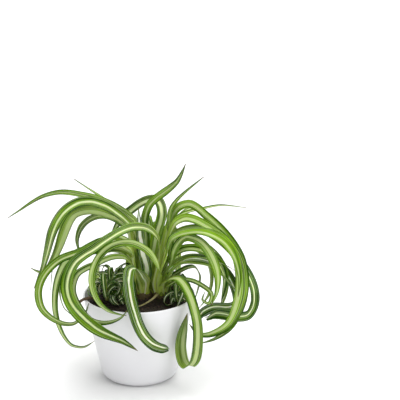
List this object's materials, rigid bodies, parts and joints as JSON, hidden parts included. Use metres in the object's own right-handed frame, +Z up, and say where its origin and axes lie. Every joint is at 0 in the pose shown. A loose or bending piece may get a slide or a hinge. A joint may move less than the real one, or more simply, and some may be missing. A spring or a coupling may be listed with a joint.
{
  "type": "potted spider plant",
  "caption": "Curly variegated spider plant with arching, looping striped leaves in a plain white tapered pot; rests on the pot's flat foot.",
  "frame": {"origin": "centre of the flat face that the pot stands on", "axes": "+Z up along the pot's axis, -Y towards the front view, +X to the right of the front view"},
  "size_m": [0.2915, 0.2009, 0.2503],
  "materials": {
    "pot_glaze": "satin white glaze",
    "potting_soil": "dark crumbly peat",
    "dried_sheath": "dry papery leaf bases",
    "plantlet_blade": "dark satin leaf",
    "dry_stalk": "dry brown stalk",
    "leaf_blade": "satin green leaf with a pale stripe"
  },
  "bodies": {
    "root": {"pot": "pot_glaze", "soil": "potting_soil", "crown_a": "dried_sheath", "crown_b": "dried_sheath", "crown_c": "dried_sheath", "plantlet_left": "plantlet_blade", "plantlet_middle": "plantlet_blade", "plantlet_right": "plantlet_blade", "plantlet_back": "plantlet_blade", "runner_stub": "dry_stalk", "leaf_left_reach": "leaf_blade", "leaf_left_wisp": "leaf_blade", "leaf_left_arch": "leaf_blade", "leaf_left_hook": "leaf_blade", "leaf_left_ring": "leaf_blade", "leaf_left_drop": "leaf_blade", "leaf_front_crescent": "leaf_blade", "leaf_front_curl": "leaf_blade", "leaf_front_ring": "leaf_blade", "leaf_front_apron": "leaf_blade", "leaf_upright_stripe": "leaf_blade", "leaf_upright_twist": "leaf_blade", "leaf_upright_fold": "leaf_blade", "leaf_back_loop": "leaf_blade", "leaf_left_small_ring": "leaf_blade", "leaf_right_arch": "leaf_blade", "leaf_right_shoulder": "leaf_blade", "leaf_right_bright": "leaf_blade", "leaf_right_rolled": "leaf_blade", "leaf_right_inner_arch": "leaf_blade", "leaf_right_inner_drop": "leaf_blade", "leaf_right_low_reach": "leaf_blade", "leaf_right_low_fall": "leaf_blade", "leaf_right_curl": "leaf_blade", "leaf_right_dark": "leaf_blade", "leaf_front_hairpin": "leaf_blade", "leaf_right_wisp": "leaf_blade", "leaf_right_outer_ring": "leaf_blade", "leaf_back_right_arch": "leaf_blade", "leaf_back_left_arch": "leaf_blade", "leaf_back_left_hook": "leaf_blade", "leaf_back_tall": "leaf_blade", "leaf_back_fall": "leaf_blade", "leaf_back_right_fall": "leaf_blade", "leaf_back_left_fall": "leaf_blade", "leaf_back_left_curl": "leaf_blade", "leaf_back_right_curl": "leaf_blade", "leaf_back_low_curl": "leaf_blade", "leaf_back_left_low": "leaf_blade", "leaf_back_right_low": "leaf_blade"}
  },
  "joints": []
}
